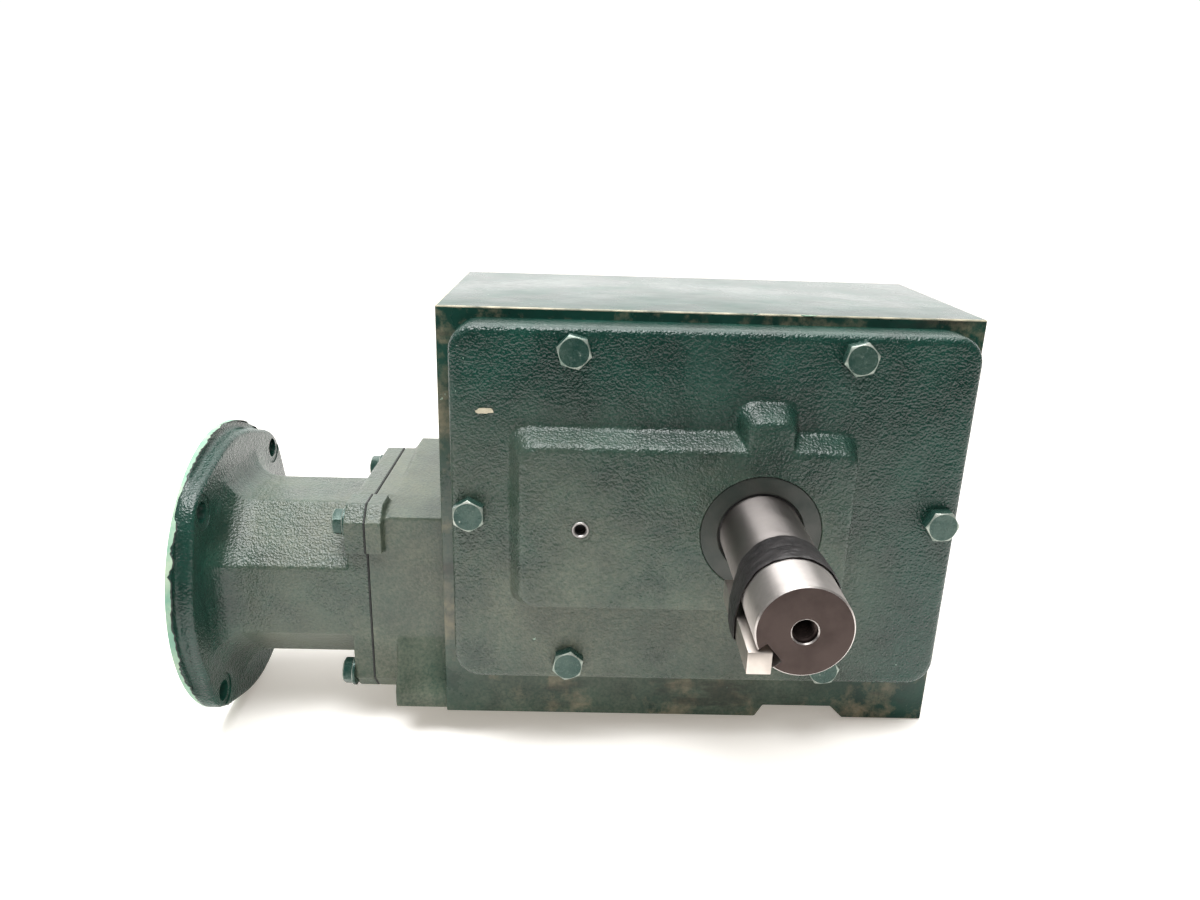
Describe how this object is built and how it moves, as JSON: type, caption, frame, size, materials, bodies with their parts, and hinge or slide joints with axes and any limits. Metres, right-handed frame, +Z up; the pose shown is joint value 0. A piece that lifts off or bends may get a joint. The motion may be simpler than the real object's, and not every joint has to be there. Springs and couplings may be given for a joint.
{
  "type": "right-angle gear reducer",
  "caption": "Right-angle helical-bevel gear reducer in a box-shaped cast case, with a round motor adapter flange and a keyed solid output shaft.",
  "frame": {"origin": "centre of the case's machined base face, midway along the case box and midway between its front and back faces", "axes": "+X along the input axis, away from the motor adapter; +Y from the output shaft's end into the case; +Z up from the base"},
  "size_m": [0.3955, 0.265, 0.2463],
  "materials": {
    "green_enamel": "dark teal-green gloss enamel over rough cast iron, dusty, scratched at the machined edges",
    "painted_bolt": "steel hexagon heads overpainted green, worn bright on the edges",
    "gasket_paper": "dark fibre gasket with sealant",
    "plug_brass": "plain turned pipe plugs",
    "ground_steel": "ground bright steel with fine turning marks",
    "gear_steel": "hardened machined steel, lightly oiled",
    "black_tape": "black vinyl tape, wrinkled",
    "seal_case": "brown-grey rubber-covered seal, paint-smeared",
    "raw_iron": "unpainted grey iron with machined faces"
  },
  "bodies": {
    "case": {"gear_case": "green_enamel", "front_cover": "green_enamel", "cover_gasket": "gasket_paper", "cover_bolt_1": "painted_bolt", "cover_bolt_2": "painted_bolt", "cover_bolt_3": "painted_bolt", "cover_bolt_4": "painted_bolt", "cover_bolt_5": "painted_bolt", "cover_bolt_6": "painted_bolt", "vent_plug": "plug_brass", "level_plug": "plug_brass", "drain_plug": "plug_brass", "output_rear_cap": "green_enamel", "cross_rear_cap": "green_enamel", "motor_flange": "green_enamel", "input_adapter": "green_enamel", "adapter_gasket": "gasket_paper", "adapter_bolt_1": "painted_bolt", "adapter_bolt_2": "painted_bolt", "adapter_bolt_3": "painted_bolt", "adapter_bolt_4": "painted_bolt", "pinion_carrier": "raw_iron", "carrier_bolt_1": "gear_steel", "carrier_bolt_2": "gear_steel", "carrier_bolt_3": "gear_steel", "carrier_bolt_4": "gear_steel", "output_seal": "seal_case", "input_seal": "seal_case", "output_front_bearing_cup": "gear_steel", "output_rear_bearing_cup": "gear_steel", "cross_front_bearing_cup": "gear_steel", "cross_rear_bearing_cup": "gear_steel", "bevel_pinion_tail_bearing_cup": "gear_steel", "bevel_pinion_head_bearing_cup": "gear_steel", "input_head_bearing_cup": "gear_steel", "input_tail_bearing_cup": "gear_steel"},
    "output_train": {"output_shaft": "ground_steel", "output_gear": "gear_steel", "output_gear_key": "gear_steel", "output_spacer": "gear_steel", "output_key": "ground_steel", "key_retaining_tape": "black_tape", "output_front_bearing_cone": "gear_steel", "output_rear_bearing_cone": "gear_steel"},
    "cross_train": {"cross_shaft": "gear_steel", "bevel_gear": "gear_steel", "bevel_gear_key": "gear_steel", "cross_front_bearing_cone": "gear_steel", "cross_rear_bearing_cone": "gear_steel"},
    "bevel_pinion_train": {"bevel_pinion_shaft": "gear_steel", "first_stage_gear": "gear_steel", "first_stage_gear_key": "gear_steel", "bevel_pinion_tail_bearing_cone": "gear_steel", "bevel_pinion_head_bearing_cone": "gear_steel"},
    "input_train": {"input_shaft": "gear_steel", "input_pinion": "gear_steel", "input_pinion_key": "gear_steel", "input_head_bearing_cone": "gear_steel", "input_tail_bearing_cone": "gear_steel"}
  },
  "joints": [
    {"name": "output_spin", "type": "hinge", "parent": "case", "child": "output_train", "pos_m": [0.0254, 0, 0.122], "axis": [0, 1, 0], "continuous": true},
    {"name": "cross_spin", "type": "hinge", "parent": "case", "child": "cross_train", "pos_m": [-0.0596, 0, 0.122], "axis": [0, 1, 0], "continuous": true},
    {"name": "bevel_pinion_spin", "type": "hinge", "parent": "case", "child": "bevel_pinion_train", "pos_m": [-0.0596, 0, 0.122], "axis": [1, 0, 0], "continuous": true},
    {"name": "input_spin", "type": "hinge", "parent": "case", "child": "input_train", "pos_m": [-0.2, 0, 0.057], "axis": [1, 0, 0], "continuous": true}
  ],
  "couplings": [
    {"joint": "cross_spin", "follows": "output_spin", "ratio": -3.1667},
    {"joint": "bevel_pinion_spin", "follows": "output_spin", "ratio": -4.8718},
    {"joint": "input_spin", "follows": "output_spin", "ratio": 13.223}
  ]
}
